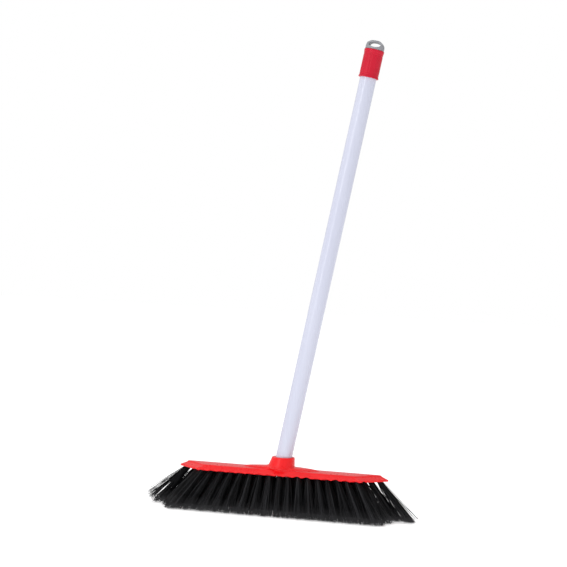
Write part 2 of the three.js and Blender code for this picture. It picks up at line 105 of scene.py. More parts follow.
# Block outline, seen from above.
HALF_LENGTH = 164.5 * MM  # to the sharp end points, before they are rounded
FRONT_CORNER_CUT = 39 * MM
BACK_CORNER_CUT = 15 * MM
END_POINT_SETBACK = 10 * MM
CORNER_RADII = {"front": 9 * MM, "point": 1.2 * MM, "back": 6 * MM}
LIP_HEIGHT = 3 * MM
LIP_STEP = 0.8 * MM
LIP_ROUNDING = 0.35 * MM
SIDE_SLOPE = 5 * MM
END_SLOPE = 9 * MM
EDGE_ROUNDING = 1.6 * MM
TOP_ROUNDNESS = 0.5
CROWN = 0.7 * MM
SCALLOP_RISE = 2.2 * MM  # of the lip's lower edge over each tuft of the front row

# Saddle and collar.
SADDLE_LENGTH = 118 * MM
SADDLE_WIDTH = 35 * MM
SADDLE_RISE = 3.4 * MM
SADDLE_POINT = 1.6
COLLAR_RIM_RADIUS = 17.1 * MM
COLLAR_BASE_RADIUS = 19.9 * MM
COLLAR_FILLET = 5 * MM
SEAT_RADIUS = TUBE_RADIUS + 0.4 * MM
BLOCK_VOXEL = 0.68 * MM
EDGE_STEP = 1.2 * MM

# Screw thread.
THREAD_PITCH = 4 * MM
THREAD_CORE = 8.5 * MM
THREAD_CREST = 10.5 * MM
THREAD_HALF_FOOT = 1.2 * MM  # half the ridge's width where it leaves the core
THREAD_HALF_CREST = 0.7 * MM
THREAD_CLEARANCE = 0.4 * MM
FLANGE = 1.5 * MM
SEAT_GAP = 0.3 * MM
INSERT_BORE = 5 * MM
INSERT_CHAMFER = 1 * MM

# Tube.
TUBE_WALL = 0.5 * MM
TUBE_END_ROUNDING = 0.2 * MM
CRIMP_ABOVE_RIM = 6.5 * MM
CRIMP_RADIUS = 3.2 * MM
CRIMP_DEPTH = 0.4 * MM  # less than the wall, so that the bore stays round
CRIMP_ANGLES = (-38, 142)  # degrees round the tube

# Grip.
GRIP_RADIUS = 14.7 * MM
GRIP_BEAD_RADIUS = 15.2 * MM
GRIP_BORE = TUBE_RADIUS + SEAT_GAP
GRIP_PANELS = 8
GRIP_PANEL_DEPTH = 0.38 * MM
GRIP_ROUNDING = 0.7 * MM
GRIP_FLARE_LENGTH = 2.2 * MM
GRIP_BEAD_LENGTH = 4 * MM
RING_LINES = ((4, 0.22), (7, 0.3), (15, 0.16), (-8.2, 0.4))  # millimetres from the foot or, where
# negative, from the head, and millimetres deep
RING_LINE_WIDTH = 0.5 * MM

# Cap.
CAP_HEIGHT = CAP_HEAD - GRIP_HEAD - SEAT_GAP
CAP_RING = 2.4 * MM
CAP_TOP_THICKNESS = 11 * MM
CAP_SHOULDER = 12.2 * MM
EYE_WIDTH = 18 * MM
EYE_HEIGHT = 7.6 * MM
EYE_FLOOR = 3.1 * MM
CAP_TOP_ROUNDING = 2 * MM
CAP_VOXEL = 0.3 * MM

# Bristles.
FILAMENTS = 150
FILAMENT_RADIUS = 0.3 * MM
FILAMENT_BOW = 0.9 * MM
FILAMENT_SWAY = 0.7 * MM
STRAND_RADIUS = 0.21 * MM
SPLIT_LENGTH = 10 * MM
BRISTLE_LENGTH = 84 * MM
COMB_SHIFT = 5.5 * MM  # how far the ends of the outermost tufts are combed towards -X
END_SPREAD = 0.25  # how much wider than its solid the outermost tuft opens
MIDDLE_SPREAD = 1.5  # how much wider the middle row opens, into the gaps between the rows
TRIM = 1.5 * MM  # unevenness of the trimmed ends
SEED = 20


# ---------------------------------------------------------------- mesh helpers

def make_mesh(name, points, faces, smooth_angle=35):
    """A mesh object, smooth shaded with sharp edges kept above an angle in degrees."""
    mesh = bpy.data.meshes.new(name)
    mesh.from_pydata([tuple(p) for p in points], [], faces)
    mesh.validate()
    mesh.update()
    made = bpy.data.objects.new(name, mesh)
    bpy.context.scene.collection.objects.link(made)
    shade(made, smooth_angle)
    return made


def shade(piece, angle):
    piece.data.polygons.foreach_set("use_smooth", [True] * len(piece.data.polygons))
    piece.data.set_sharp_from_angle(angle=math.radians(angle))


def grid_faces(rows, columns, closed=False):
    """Quads of a grid whose rows are rings; closed joins the last ring to the first."""
    faces = []
    for k in range(rows if closed else rows - 1):
        here, there = k * columns, (k + 1) % rows * columns
        for i in range(columns):
            j = (i + 1) % columns
            faces.append((here + i, here + j, there + j, there + i))
    return faces


def capped(name, rings, smooth_angle=35):
    """A closed solid through rings that run anticlockwise seen from above, lowest first."""
    columns = len(rings[0])
    faces = grid_faces(len(rings), columns)
    last = (len(rings) - 1) * columns
    faces.append(tuple(reversed(range(columns))))
    faces.append(tuple(range(last, last + columns)))
    return make_mesh(name, np.concatenate(rings), faces, smooth_angle)


def circle(radius, z, segments):
    """A ring about Z. The radius is one number, or one for each point."""
    a = 2 * math.pi * np.arange(segments) / segments
    return np.stack([radius * np.cos(a), radius * np.sin(a), np.full(segments, z)], 1)


def turned(name, profile, segments):
    """A solid turned about Z from (radius, height) pairs, lowest first."""
    return capped(name, [circle(r, z, segments) for r, z in profile])


def arc(centre, radius, start, end, steps):
    """(x, y) points of an arc, in degrees."""
    turns = [math.radians(start + (end - start) * k / steps) for k in range(steps + 1)]
    return [(centre[0] + radius * math.cos(t), centre[1] + radius * math.sin(t)) for t in turns]


def combine(target, cutter, operation):
    """Joins, cuts or intersects target with cutter, which is used up."""
    modifier = target.modifiers.new(operation, "BOOLEAN")
    modifier.operation = operation
    modifier.solver = "MANIFOLD"
    modifier.object = cutter
    apply_modifiers(target)
    bpy.data.objects.remove(cutter)


def remesh(piece, voxel, smoothing):
    """Rebuilds a solid from even small faces, which blends the joins between its parts."""
    modifier = piece.modifiers.new("even", "REMESH")
    modifier.mode = "VOXEL"
    modifier.voxel_size = voxel
    if smoothing:
        relax = piece.modifiers.new("relax", "SMOOTH")
        relax.factor = 0.5
        relax.iterations = smoothing
    apply_modifiers(piece)


def apply_modifiers(piece):
    """Turns what the modifiers show into the piece's own mesh."""
    graph = bpy.context.evaluated_depsgraph_get()
    graph.update()
    mesh = bpy.data.meshes.new_from_object(piece.evaluated_get(graph))
    piece.modifiers.clear()
    piece.data = mesh


def place_on_handle(piece):
    piece.data.transform(HANDLE)
    piece.data.update()


def finish_piece(piece, body, slot, material, *nodes):
    """Gives a finished piece its material and body, and hides the CAD nodes it stands for. The slot is not
    used.
    """
    piece.data.materials.clear()
    piece.data.materials.append(material)
    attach(piece, body)
    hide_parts(*nodes)


# ---------------------------------------------------------------- materials

def new_material(name):
    """A material with its shader, and a function that adds a linked node."""
    material = bpy.data.materials.new(name)
    material.use_nodes = True
    tree = material.node_tree
    tree.nodes.clear()
    shader = tree.nodes.new("ShaderNodeBsdfPrincipled")
    output = tree.nodes.new("ShaderNodeOutputMaterial")
    tree.links.new(shader.outputs["BSDF"], output.inputs["Surface"])

    def add(kind, **inputs):
        node = tree.nodes.new(kind)
        for key, value in inputs.items():
            socket = node.inputs[int(key[1:])] if key[1:].isdigit() else node.inputs[key]
            if isinstance(value, bpy.types.NodeSocket):
                tree.links.new(value, socket)
            else:
                socket.default_value = value
        return node

    return material, shader, add, tree


def grain(add, scale, detail, stretch=None):
    """A noise in the object's own metres, about 1/scale across, stretched along the handle if asked."""
    place = add("ShaderNodeTexCoord").outputs["Object"]
    if stretch:
        place = add("ShaderNodeMapping", Vector=place, Rotation=(0, -LEAN, 0),
                    Scale=(1, 1, stretch)).outputs["Vector"]
    noise = add("ShaderNodeTexNoise", Vector=place, Scale=scale, Detail=detail)
    return noise.outputs[0]


def ramp(add, value, low, high):
    """Value from 0.35 to 0.65 spread over low to high."""
    node = add("ShaderNodeMapRange", Value=value)
    node.inputs["From Min"].default_value = 0.35
    node.inputs["From Max"].default_value = 0.65
    node.inputs["To Min"].default_value = low
    node.inputs["To Max"].default_value = high
    return node.outputs[0]


def two_tone(tree, value, low, high):
    """A colour between low and high."""
    node = tree.nodes.new("ShaderNodeMix")
    node.data_type = "RGBA"
    tree.links.new(value, node.inputs["Factor"])
    node.inputs["A"].default_value = (*low, 1)
    node.inputs["B"].default_value = (*high, 1)
    return next(o for o in node.outputs if o.type == "RGBA")


def plastic(name, low, high, roughness, grain_scale, bump_mm, stretch=None, coat=0.0, sub=0.0,
            specular=0.5):
    """Moulded plastic: slight colour drift, uneven gloss, and a fine moulded grain over a soft wave."""
    material, shader, add, tree = new_material(name)
    drift = grain(add, 28, 3, stretch)
    fine = grain(add, grain_scale, 4, stretch)
    wave = grain(add, 75, 2, stretch)
    colour = two_tone(tree, ramp(add, drift, 0, 1), low, high)
    tree.links.new(colour, shader.inputs["Base Color"])
    gloss = ramp(add, grain(add, 140, 3, stretch), *roughness)
    tree.links.new(gloss, shader.inputs["Roughness"])
    soft = add("ShaderNodeBump", Strength=0.35, Distance=bump_mm * MM * 4, Height=wave)
    hard = add("ShaderNodeBump", Strength=0.5, Distance=bump_mm * MM, Height=fine,
               Normal=soft.outputs[0])
    tree.links.new(hard.outputs[0], shader.inputs["Normal"])
    shader.inputs["IOR"].default_value = 1.49
    shader.inputs["Specular IOR Level"].default_value = specular
    shader.inputs["Coat Weight"].default_value = coat
    shader.inputs["Coat Roughness"].default_value = 0.12
    if sub:
        shader.inputs["Subsurface Weight"].default_value = sub
        shader.inputs["Subsurface Radius"].default_value = (1.0, 0.25, 0.2)
        shader.inputs["Subsurface Scale"].default_value = 1.5 * MM
    return material


def bristle_material():
    """Black filaments, each of its own shade and lighter down the middle of each tuft as a painted sheen,
    with worn grey split ends.
    """
    material, shader, add, tree = new_material("bristle_filament")
    tone = add("ShaderNodeAttribute")
    tone.attribute_name = "tone"
    flag = add("ShaderNodeAttribute")
    flag.attribute_name = "flag"
    body = two_tone(tree, tone.outputs["Fac"], (0.0010, 0.0010, 0.0014), (0.062, 0.062, 0.068))
    ends = tree.nodes.new("ShaderNodeMix")
    ends.data_type = "RGBA"
    tree.links.new(flag.outputs["Fac"], ends.inputs["Factor"])
    colour_sockets = [s for s in ends.inputs if s.type == "RGBA"]
    tree.links.new(body, colour_sockets[0])
    colour_sockets[1].default_value = (0.055, 0.055, 0.058, 1)
    colour = next(o for o in ends.outputs if o.type == "RGBA")
    tree.links.new(colour, shader.inputs["Base Color"])
    gloss = ramp(add, grain(add, 260, 2), 0.34, 0.5)
    tree.links.new(gloss, shader.inputs["Roughness"])
    shader.inputs["Specular IOR Level"].default_value = 0.2
    return material


RED = plastic("block_red", (0.90, 0.010, 0.014), (0.96, 0.016, 0.020), (0.26, 0.36), 1500, 0.004,
              sub=0.08, specular=0.3)
GRIP_RED = plastic("grip_crimson", (0.55, 0.006, 0.026), (0.63, 0.009, 0.034), (0.40, 0.52), 1700, 0.005,
                   specular=0.25)
GREY = plastic("cap_grey", (0.25, 0.255, 0.28), (0.31, 0.315, 0.34), (0.34, 0.46), 1600, 0.004)
WHITE = plastic("insert_natural", (0.78, 0.77, 0.72), (0.84, 0.83, 0.78), (0.42, 0.55), 1200, 0.015)
COATING = plastic("tube_lilac_coat", (0.635, 0.655, 0.79), (0.665, 0.685, 0.815), (0.24, 0.34), 900, 0.002,
                  stretch=0.08, coat=0.25)
BLACK = bristle_material()


# ---------------------------------------------------------------- block

def outline(side, end, roundness, steps=10):
    """The block's outline from above as (x, y) points, its front ends moved in by end and its other
    edges by side, and its corner radii multiplied by roundness."""
    half_length, half_width = HALF_LENGTH, BLOCK_HIGH.y
    front_x, back_x = half_length - FRONT_CORNER_CUT, half_length - BACK_CORNER_CUT
    end_y = half_width - END_POINT_SETBACK
    corners = [
        (-front_x, -half_width, "front"), (front_x, -half_width, "front"),
        (half_length, end_y, "point"), (back_x, half_width, "back"),
        (-back_x, half_width, "back"), (-half_length, end_y, "point"),
    ]
    insets = [side, end, side, side, side, end]
    edges = []
    for i, (x, y, _) in enumerate(corners):
        along = Vector(corners[(i + 1) % 6][:2]) - Vector((x, y))
        along.normalize()
        inward = Vector((-along.y, along.x))
        edges.append((Vector((x, y)) + inward * insets[i], along))
    points = []
    for i, (_, _, kind) in enumerate(corners):
        (p, a), (q, b) = edges[i - 1], edges[i]
        radius = CORNER_RADII[kind] * roundness
        cross = a.x * b.y - a.y * b.x
        gap = q - p
        corner = p + a * ((gap.x * b.y - gap.y * b.x) / cross)
        angle = math.atan2(cross, a.dot(b))
        start = corner - a * radius * math.tan(angle / 2)
        centre = start + Vector((-a.y, a.x)) * radius
        first = math.degrees(math.atan2(-a.x, a.y))
        points += arc(centre, radius, first, first + math.degrees(angle), steps)
    return np.array(points)


def ring(side, end, roundness, z):
    flat = outline(side, end, roundness)
    return np.column_stack([flat, np.full(len(flat), z)])


def edge_cuts():
    """How many steps each edge of the block's outline is cut into, so that it can carry scallops."""
    flat = outline(0, 0, 1)
    lengths = np.linalg.norm(np.roll(flat, -1, axis=0) - flat, axis=1)
    return np.maximum(1, np.round(lengths / EDGE_STEP)).astype(int)


def cut_ring(ring_points, cuts):
    """The same ring with each of its edges cut into its number of equal steps."""
    after = np.roll(ring_points, -1, axis=0)
    parts = [a + (b - a) * (np.arange(n) / n)[:, None] for a, b, n in zip(ring_points, after, cuts)]
    return np.concatenate(parts)


def scalloped(points, weight):
    """Raises the lip's front edge over each tuft of the front row."""
    pitch = tuft_pitch()
    wave = np.cos(math.pi * points[:, 0] / pitch) ** 2
    front = points[:, 1] < -0.6 * BLOCK_HIGH.y
    raised = points.copy()
    raised[:, 2] += SCALLOP_RISE * weight * wave * front
    return raised


def tuft_pitch():
    """The spacing of the front row's tufts, from the two beside the middle one."""
    middle = [node_points(f"tuft_front_{i:02d}") for i in (8, 9)]
    tops = [p[p[:, 2] > p[:, 2].max() - MM][:, 0].mean() for p in middle]
    return tops[1] - tops[0]


def block_body():
    """The block without its saddle and collar: scalloped lip, sloping sides, rounded edge, crown."""
    lip_top = UNDERSIDE + LIP_HEIGHT
    shoulder = BLOCK_TOP - CROWN
    cuts = edge_cuts()
    rings = [scalloped(cut_ring(ring(2 * LIP_STEP, 2 * LIP_STEP, 1, UNDERSIDE), cuts), 1)]
    rings += [
        scalloped(cut_ring(ring(x, x, 1, z), cuts), 1)
        for x, z in arc((LIP_ROUNDING, UNDERSIDE + LIP_ROUNDING), LIP_ROUNDING, 270, 180, 3)
    ]
    rings += [
        cut_ring(ring(x, x, 1, z), cuts)
        for x, z in arc((LIP_ROUNDING, lip_top - LIP_ROUNDING), LIP_ROUNDING, 180, 90, 3)
    ]
    rings.append(cut_ring(ring(LIP_STEP, LIP_STEP, 1, lip_top + 0.1 * MM), cuts))
    for k in range(7):  # the rounded top edge
        a = math.pi / 2 * k / 6
        move = EDGE_ROUNDING * (1 - math.cos(a))
        height = shoulder - EDGE_ROUNDING * (1 - math.sin(a))
        rings.append(cut_ring(ring(SIDE_SLOPE + move, END_SLOPE + move, TOP_ROUNDNESS, height), cuts))
    edge = rings[-1]
    for share in (0.9, 0.72, 0.5, 0.25, 0.05):  # the crown
        lift_here = CROWN * (1 - share ** 2)
        inner = edge * np.array([0.9 + 0.1 * share, share, 1])
        inner[:, 2] = shoulder + lift_here
        rings.append(inner)
    return capped("broom_block", rings)


def saddle():
    """Two bowed sides that meet in a point at each end, with a rounded top."""
    segments = 160
    a = 2 * math.pi * np.arange(segments) / segments
    bow = np.sign(np.sin(a)) * np.abs(np.sin(a)) ** SADDLE_POINT
    rings = []
    steps = [(-0.5, 1, 1), (0.1, 1, 1), (0.45, 0.95, 0.965), (0.75, 0.82, 0.89), (0.93, 0.65, 0.79),
             (1, 0.45, 0.66), (1.02, 0.25, 0.4)]
    for rise, length, width in steps:
        x = SADDLE_LENGTH / 2 * length * np.cos(a)
        y = SADDLE_WIDTH / 2 * width * bow
        rings.append(np.column_stack([x, y, np.full(segments, BLOCK_TOP + rise * SADDLE_RISE)]))
    return capped("saddle", rings)


def collar():
    """The socket's leaning wall, with a concave fillet at its foot, cut level at its rim."""
    foot = COLLAR_BASE_RADIUS + COLLAR_FILLET
    spare = 1.5 * COLLAR_RIM_RADIUS * math.tan(LEAN)
    taper = (COLLAR_BASE_RADIUS - COLLAR_RIM_RADIUS) / (RIM - COLLAR_FILLET)
    fillet = arc((foot, COLLAR_FILLET), COLLAR_FILLET, 270, 180, 10)
    wall = [(COLLAR_RIM_RADIUS - taper * spare, RIM + spare)]
    made = turned("collar", [(foot, -CROWN), *fillet, *wall], 128)
    place_on_handle(made)
    size = 6 * COLLAR_RIM_RADIUS
    lid = [Vector((x * size, y * size, 0)) for x, y in ((-1, -1), (1, -1), (1, 1), (-1, 1))]
    rings = [np.array([p + Vector((0, 0, z)) for p in lid]) for z in (RIM_Z, RIM_Z + size)]
    combine(made, capped("lid", rings), "DIFFERENCE")
    return made


def thread_radius(z, angle, core, crest, half_foot, half_crest):
    """The radius of a screw ridge at height z and at an angle round the axis."""
    phase = (z - THREAD_PITCH * angle / (2 * math.pi)) / THREAD_PITCH
    offset = np.abs(phase - np.round(phase)) * THREAD_PITCH
    share = np.clip((half_foot - offset) / (half_foot - half_crest), 0, 1)
    return core + (crest - core) * share


def threaded_rings(z0, z1, core, crest, half_foot, half_crest, open_head=False, segments=96):
    """Rings from z0 to z1 that carry a screw ridge, which fades out over half a turn at its foot, and
    at its head too unless that is open."""
    angle = 2 * math.pi * np.arange(segments) / segments
    rings = []
    for z in np.linspace(z0, z1, round((z1 - z0) / (THREAD_PITCH / 16)) + 1):
        from_end = z - z0 if open_head else min(z - z0, z1 - z)
        fade = np.clip(from_end / (THREAD_PITCH / 2), 0, 1)
        full = thread_radius(z, angle, core, crest, half_foot, half_crest)
        rings.append(circle(core + (full - core) * fade, z, segments))
    return rings


FLANGE_TOP = TUBE_FOOT - SEAT_GAP
FLANGE_FOOT = FLANGE_TOP - FLANGE
SOCKET_SHELF = FLANGE_FOOT - SEAT_GAP


def socket_cutter():
    """The space inside the collar: a threaded hole with a wide seat for the tube above it."""
    core, crest = THREAD_CORE + THREAD_CLEARANCE, THREAD_CREST + THREAD_CLEARANCE
    rings = threaded_rings(INSERT_FOOT - THREAD_CLEARANCE, SOCKET_SHELF, core, crest,
                           THREAD_HALF_FOOT + THREAD_CLEARANCE, THREAD_HALF_CREST + THREAD_CLEARANCE,
                           open_head=True)
    rings += [
        circle(SEAT_RADIUS, SOCKET_SHELF, 96),
        circle(SEAT_RADIUS, 2 * RIM, 96),
    ]
    made = capped("socket", rings)
    place_on_handle(made)
    return made


def build_block():
    block = block_body()
    combine(block, saddle(), "UNION")
    combine(block, collar(), "UNION")
    remesh(block, BLOCK_VOXEL, 4)
    combine(block, socket_cutter(), "DIFFERENCE")
    shade(block, 62)
    finish_piece(block, "broom_head", "block_plastic", RED, "brush_block")


# ---------------------------------------------------------------- bristles

def tube_mesh(paths, radii, sides):
    """Points and faces of one thin closed rod along each path, narrowing with radii."""
    count, steps, _ = paths.shape
    along = paths[:, -1] - paths[:, 0]
    along /= np.linalg.norm(along, axis=1, keepdims=True)
    first = np.cross(along, (0.0, 1.0, 0.0))
    first /= np.linalg.norm(first, axis=1, keepdims=True)
    second = np.cross(along, first)
    a = 2 * math.pi * np.arange(sides) / sides
    spokes = first[:, None] * np.cos(a)[None, :, None] + second[:, None] * np.sin(a)[None, :, None]
    points = paths[:, :, None] + spokes[:, None] * radii[None, :, None, None]
    faces = []
    for n in range(count):
        base = n * steps * sides
        for k in range(steps - 1):
            here, there = base + k * sides, base + (k + 1) * sides
            for i in range(sides):
                j = (i + 1) % sides
                faces.append((here + i, here + j, there + j, there + i))
        faces.append(tuple(base + i for i in reversed(range(sides))))
        faces.append(tuple(base + (steps - 1) * sides + i for i in range(sides)))
    return points.reshape(-1, 3), faces


def tuft_ends(node):
    """Centre and half sizes of a tuft's top in its hole, and of its trimmed end."""
    points = node_points(node)
    ends = []
    for level in (points[:, 2].max(), points[:, 2].min()):
        near = points[np.abs(points[:, 2] - level) < 0.01 * MM]
        low, high = near.min(0), near.max(0)
        ends.append(((low + high) / 2, (high - low) / 2))
    return ends


TUFT_REACH = max(abs(tuft_ends(n)[0][0][0]) for n in frame["nodes"] if n.startswith("tuft_"))
TIP_LIMIT = 1.04 * cad_box[1].x


def build_tuft(node, random):
    """A tuft as a bundle of bent filaments, each split at its end into fine worn strands."""
    (root, root_half), (tip, tip_half) = tuft_ends(node)
    count = FILAMENTS
    angle = random.uniform(0, 2 * math.pi, count)
    reach = np.sqrt(random.uniform(0, 1, count))
    disk = np.stack([reach * np.cos(angle), reach * np.sin(angle)], 1)
    loose = disk + random.normal(0, 0.16, (count, 2))
    size = np.linalg.norm(loose, axis=1, keepdims=True)
    loose *= np.minimum(1, 1.1 / np.maximum(size, 1e-6))
    start = np.column_stack([root[:2] + 0.85 * root_half[:2] * disk, np.full(count, root[2])])
    way_out = root + (tip - root) * ((root[2] - UNDERSIDE) / (root[2] - tip[2]))
    outward = abs(way_out[0]) / TUFT_REACH
    middle_row = abs(tip[1]) < tip_half[1]
    spread = np.array([1.32 + END_SPREAD * outward ** 2, MIDDLE_SPREAD if middle_row else 0.97])
    fan = spread * tip_half[:2]
    limit = TIP_LIMIT - 1.1 * fan[0]
    centre = np.array([np.clip(tip[0] - COMB_SHIFT * outward, -limit, limit), tip[1]])
    flat = centre + fan * loose
    across = np.hypot(*(flat - way_out[:2]).T)
    drop = np.sqrt(np.maximum(BRISTLE_LENGTH ** 2 - across ** 2, (20 * MM) ** 2))
    trim = random.uniform(0, 1, count) ** 2 * TRIM + 0.5 * TRIM * np.clip(size[:, 0], 0, 1) ** 2
    end = np.column_stack([flat, np.maximum(UNDERSIDE - drop, 0.2 * MM) + trim])
    straight = end - start
    length = np.linalg.norm(straight, axis=1)
    side = np.cross(straight, (0.0, 1.0, 0.0)) / length[:, None]
    bow = random.normal(0, FILAMENT_BOW, count)
    sway = random.normal(0, FILAMENT_SWAY, count)
    depth = np.array([0.0, 1.0, 0.0])

    def at(share):
        """Points of every filament at a share of its length."""
        bend = np.sin(math.pi * share) * bow
        drift = np.sin(math.pi * share) * sway
        return start + straight * share + side * bend[:, None] + depth * drift[:, None]

    split = 1 - SPLIT_LENGTH / length.mean()
    shares = [0, 0.22, 0.45, 0.68, split]
    paths = np.stack([at(s) for s in shares], 1)
    points, faces = tube_mesh(paths, np.full(len(shares), FILAMENT_RADIUS), 4)
    ridge = np.exp(-(disk[:, 0] / 0.3) ** 2)  # painted sheen: filaments down the middle of the tuft are made lighter, standing in for the light a rounded bundle catches
    painted_sheen = 0.75 * ridge * random.uniform(0, 1, count)
    # each filament's tone is its own random shade plus the painted sheen down the tuft's middle
    tone_and_sheen = np.clip(0.5 * random.uniform(0, 1, count) ** 4 + painted_sheen, 0, 1)
    tone = np.repeat(tone_and_sheen, len(shares) * 4)
    flag = np.tile(np.repeat([0, 0, 0, 0, 0.45], 4), count)
    for turn_sign in (-1, 1):
        fan = np.column_stack([random.normal(0.5, 0.45, count) * turn_sign,
                               random.normal(0, 0.6, count), random.uniform(0, 0.9, count)]) * MM
        ends = at(1.0) + fan
        ends[:, 2] = np.maximum(ends[:, 2], 0.05 * MM + STRAND_RADIUS)
        curl = random.normal(0, 0.3 * MM, (count, 3))
        middle = (at(split) + ends) / 2 + curl
        strand = np.stack([at(split - 0.02), middle, ends], 1)
        more, more_faces = tube_mesh(strand, np.array([1, 0.85, 0.5]) * STRAND_RADIUS, 3)
        offset = len(points)
        faces += [tuple(i + offset for i in f) for f in more_faces]
        points = np.concatenate([points, more])
        tone = np.concatenate([tone, np.repeat(random.uniform(0, 1, count), 9)])
        flag = np.concatenate([flag, np.tile(np.repeat([0.35, 0.8, 1.0], 3), count)])
    piece = make_mesh(node.replace("tuft", "bristles"), points, faces, 60)
    for name, values in (("tone", tone), ("flag", flag)):
        layer = piece.data.attributes.new(name, "FLOAT", "POINT")
        layer.data.foreach_set("value", values.astype(np.float32))
    finish_piece(piece, "broom_head", "bristle", BLACK, node)


def build_bristles():
    random = np.random.default_rng(SEED)
    for node in sorted(n for n in frame["nodes"] if n.startswith("tuft_")):
        build_tuft(node, random)


# ---------------------------------------------------------------- handle

def build_tube():
    """The thin coated tube, with rounded ends and two crimp dimples that hold the insert."""
    segments = 128
    inner = TUBE_RADIUS - TUBE_WALL
    rounding = TUBE_END_ROUNDING
    crimp_z = RIM + CRIMP_ABOVE_RIM
    near = np.arange(crimp_z - 1.4 * CRIMP_RADIUS, crimp_z + 1.4 * CRIMP_RADIUS, 0.3 * MM)
    far = np.linspace(near[-1] + 2 * MM, TUBE_HEAD - rounding, 90)
    outer = [(TUBE_RADIUS, z) for z in (*near, *far)]
    foot = arc((TUBE_RADIUS - rounding, TUBE_FOOT + rounding), rounding, 270, 360, 4)
    head = arc((TUBE_RADIUS - rounding, TUBE_HEAD - rounding), rounding, 0, 90, 4)
    profile = [(inner, TUBE_HEAD), (inner, TUBE_FOOT), *foot, *outer, *head[1:]]
    rings = np.array([circle(r, z, segments) for r, z in profile])
    angle = np.degrees(np.arctan2(rings[..., 1], rings[..., 0]))
    radius = np.hypot(rings[..., 0], rings[..., 1])
    for centre in CRIMP_ANGLES:
        turn_here = np.radians((angle - centre + 180) % 360 - 180)
        distance = np.hypot(turn_here * TUBE_RADIUS, rings[..., 2] - crimp_z) / CRIMP_RADIUS
        bowl = np.where(distance < 1, (1 - distance ** 2) ** 2, 0)
        shrink = 1 - CRIMP_DEPTH * bowl / radius
        outside = radius > inner + 0.1 * MM
        rings[..., :2] *= np.where(outside, shrink, 1)[..., None]
    faces = grid_faces(len(rings), segments, closed=True)
    tube = make_mesh("coated_tube", rings.reshape(-1, 3), faces, 40)
    place_on_handle(tube)
    finish_piece(tube, "handle_shaft", "tube_coating", COATING, "handle_tube")


def build_insert():
    """The moulded insert: a screw, a flange and a plug, with a bore through them."""
    core_foot = INSERT_FOOT + INSERT_CHAMFER
    plug = TUBE_RADIUS - TUBE_WALL - SEAT_GAP
    segments = 96
    rings = [
        circle(INSERT_BORE, INSERT_FOOT, segments),
        circle(THREAD_CORE - INSERT_CHAMFER, INSERT_FOOT, segments),
        *threaded_rings(core_foot, FLANGE_FOOT - 0.2 * MM, THREAD_CORE, THREAD_CREST, THREAD_HALF_FOOT,
                        THREAD_HALF_CREST),
        circle(FLANGE_RADIUS - 0.3 * MM, FLANGE_FOOT, segments),
        circle(FLANGE_RADIUS, FLANGE_FOOT + 0.3 * MM, segments),
        circle(FLANGE_RADIUS, FLANGE_TOP, segments),
        circle(plug, FLANGE_TOP, segments),
        circle(plug, INSERT_HEAD - INSERT_CHAMFER, segments),
        circle(plug - INSERT_CHAMFER, INSERT_HEAD, segments),
        circle(INSERT_BORE, INSERT_HEAD, segments),
    ]
    faces = grid_faces(len(rings), segments, closed=True)
    insert = make_mesh("screw_insert", np.concatenate(rings), faces, 40)
    place_on_handle(insert)
    finish_piece(insert, "handle_fittings", "insert_plastic", WHITE, "thread_insert")


def build_grip():
    """The grip: a flared foot, a beaded head, ring lines, and shallow panels round its waist."""
    segments = 192
    length = GRIP_HEAD - GRIP_FOOT
    angle = 2 * math.pi * np.arange(segments) / segments
    groove = (0.5 + 0.5 * np.cos(GRIP_PANELS * angle)) ** 14
    ring_lines = [(at * MM if at > 0 else length + at * MM, depth) for at, depth in RING_LINES]
    rings = [circle(GRIP_BORE, 0, segments)]
    for z in np.linspace(0, length, 150):
        flare = (GRIP_LIP_RADIUS - GRIP_RADIUS) * math.exp(-((z / GRIP_FLARE_LENGTH) ** 2))
        bead_share = 1 / (1 + math.exp(-(z - length + GRIP_BEAD_LENGTH) / (0.25 * MM)))
        radius = GRIP_RADIUS + flare + (GRIP_BEAD_RADIUS - GRIP_RADIUS) * bead_share
        for line_z, depth in ring_lines:
            radius -= depth * MM * math.exp(-(((z - line_z) / RING_LINE_WIDTH) ** 2))
        ends = min(z, length - z)
        if ends < GRIP_ROUNDING:
            radius -= GRIP_ROUNDING - math.sqrt(max(0, GRIP_ROUNDING ** 2 - (GRIP_ROUNDING - ends) ** 2))
        waist = 1 / (1 + math.exp(-(min(z - 5.5 * MM, length - 9.5 * MM - z)) / (0.4 * MM)))
        rings.append(circle(radius - GRIP_PANEL_DEPTH * groove * waist, z, segments))
    rings.append(circle(GRIP_BORE, length, segments))
    faces = grid_faces(len(rings), segments, closed=True)
    grip = make_mesh("fluted_grip", np.concatenate(rings), faces, 50)
    grip.data.transform(Matrix.Translation((0, 0, GRIP_FOOT)))
    place_on_handle(grip)
    finish_piece(grip, "handle_fittings", "grip_plastic", GRIP_RED, "grip_sleeve")


def extruded(name, flat, depth, turned_round=False):
    """A plate of (across, height) points, run through depth front to back, or side to side."""
    flat = np.array(flat)
    sides = []
    for y in (-depth / 2, depth / 2):
        deep = np.full(len(flat), y)
        columns = [deep, flat[:, 0], flat[:, 1]] if turned_round else [flat[:, 0], -deep, flat[:, 1]]
        sides.append(np.column_stack(columns))
    count = len(flat)
    faces = [(i, (i + 1) % count, count + (i + 1) % count, count + i) for i in range(count)]
    faces += [tuple(reversed(range(count))), tuple(range(count, 2 * count))]
    return make_mesh(name, np.concatenate(sides), faces)


